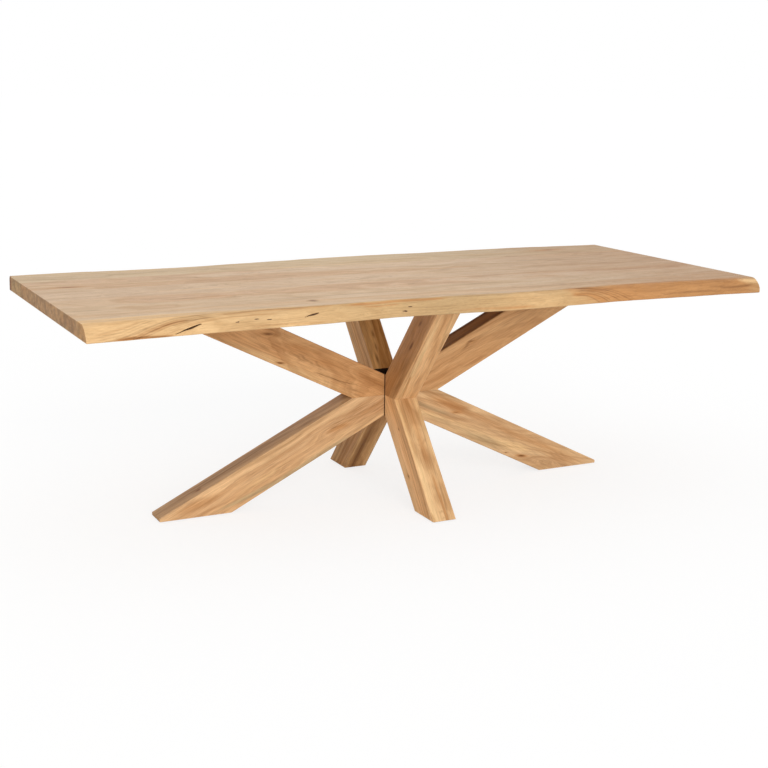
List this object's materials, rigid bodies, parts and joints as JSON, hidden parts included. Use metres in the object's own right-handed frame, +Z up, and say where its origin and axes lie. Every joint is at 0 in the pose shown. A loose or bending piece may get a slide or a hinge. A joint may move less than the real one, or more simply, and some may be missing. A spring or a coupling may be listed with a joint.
{
  "type": "live edge dining table",
  "caption": "Rectangular dining table with a thick plank top, live long edges and a spider base of mitred V legs and arms round a steel hub.",
  "frame": {"origin": "on the floor, under the middle of the overall box", "axes": "+X along the table's length, -Y towards the side with the deeper live edge, +Z up"},
  "size_m": [2.4, 1.05, 0.76],
  "materials": {
    "top_wood": "smooth, matt lacquer",
    "base_wood": "smooth, matt lacquer",
    "joint_wood": "bare",
    "black_steel": "black powder coat",
    "zinc_steel": "zinc plated",
    "felt": "pressed felt"
  },
  "bodies": {
    "root": {"top_board_front": "top_wood", "top_board_2": "top_wood", "top_board_3": "top_wood", "top_board_centre": "top_wood", "top_board_5": "top_wood", "top_board_6": "top_wood", "top_board_back": "top_wood", "tongue_1": "joint_wood", "tongue_2": "joint_wood", "tongue_3": "joint_wood", "tongue_4": "joint_wood", "tongue_5": "joint_wood", "tongue_6": "joint_wood", "hub_tube": "black_steel", "leg_right": "base_wood", "arm_right": "base_wood", "tenon_right": "joint_wood", "foot_pad_right": "felt", "arm_plate_right": "black_steel", "plate_screw_right_1": "zinc_steel", "top_screw_right_1": "zinc_steel", "plate_screw_right_2": "zinc_steel", "top_screw_right_2": "zinc_steel", "hub_screw_right_leg": "zinc_steel", "hub_screw_right_arm": "zinc_steel", "leg_back": "base_wood", "arm_back": "base_wood", "tenon_back": "joint_wood", "foot_pad_back": "felt", "arm_plate_back": "black_steel", "plate_screw_back_1": "zinc_steel", "top_screw_back_1": "zinc_steel", "plate_screw_back_2": "zinc_steel", "top_screw_back_2": "zinc_steel", "hub_screw_back_leg": "zinc_steel", "hub_screw_back_arm": "zinc_steel", "leg_left": "base_wood", "arm_left": "base_wood", "tenon_left": "joint_wood", "foot_pad_left": "felt", "arm_plate_left": "black_steel", "plate_screw_left_1": "zinc_steel", "top_screw_left_1": "zinc_steel", "plate_screw_left_2": "zinc_steel", "top_screw_left_2": "zinc_steel", "hub_screw_left_leg": "zinc_steel", "hub_screw_left_arm": "zinc_steel", "leg_front": "base_wood", "arm_front": "base_wood", "tenon_front": "joint_wood", "foot_pad_front": "felt", "arm_plate_front": "black_steel", "plate_screw_front_1": "zinc_steel", "top_screw_front_1": "zinc_steel", "plate_screw_front_2": "zinc_steel", "top_screw_front_2": "zinc_steel", "hub_screw_front_leg": "zinc_steel", "hub_screw_front_arm": "zinc_steel"}
  },
  "joints": []
}
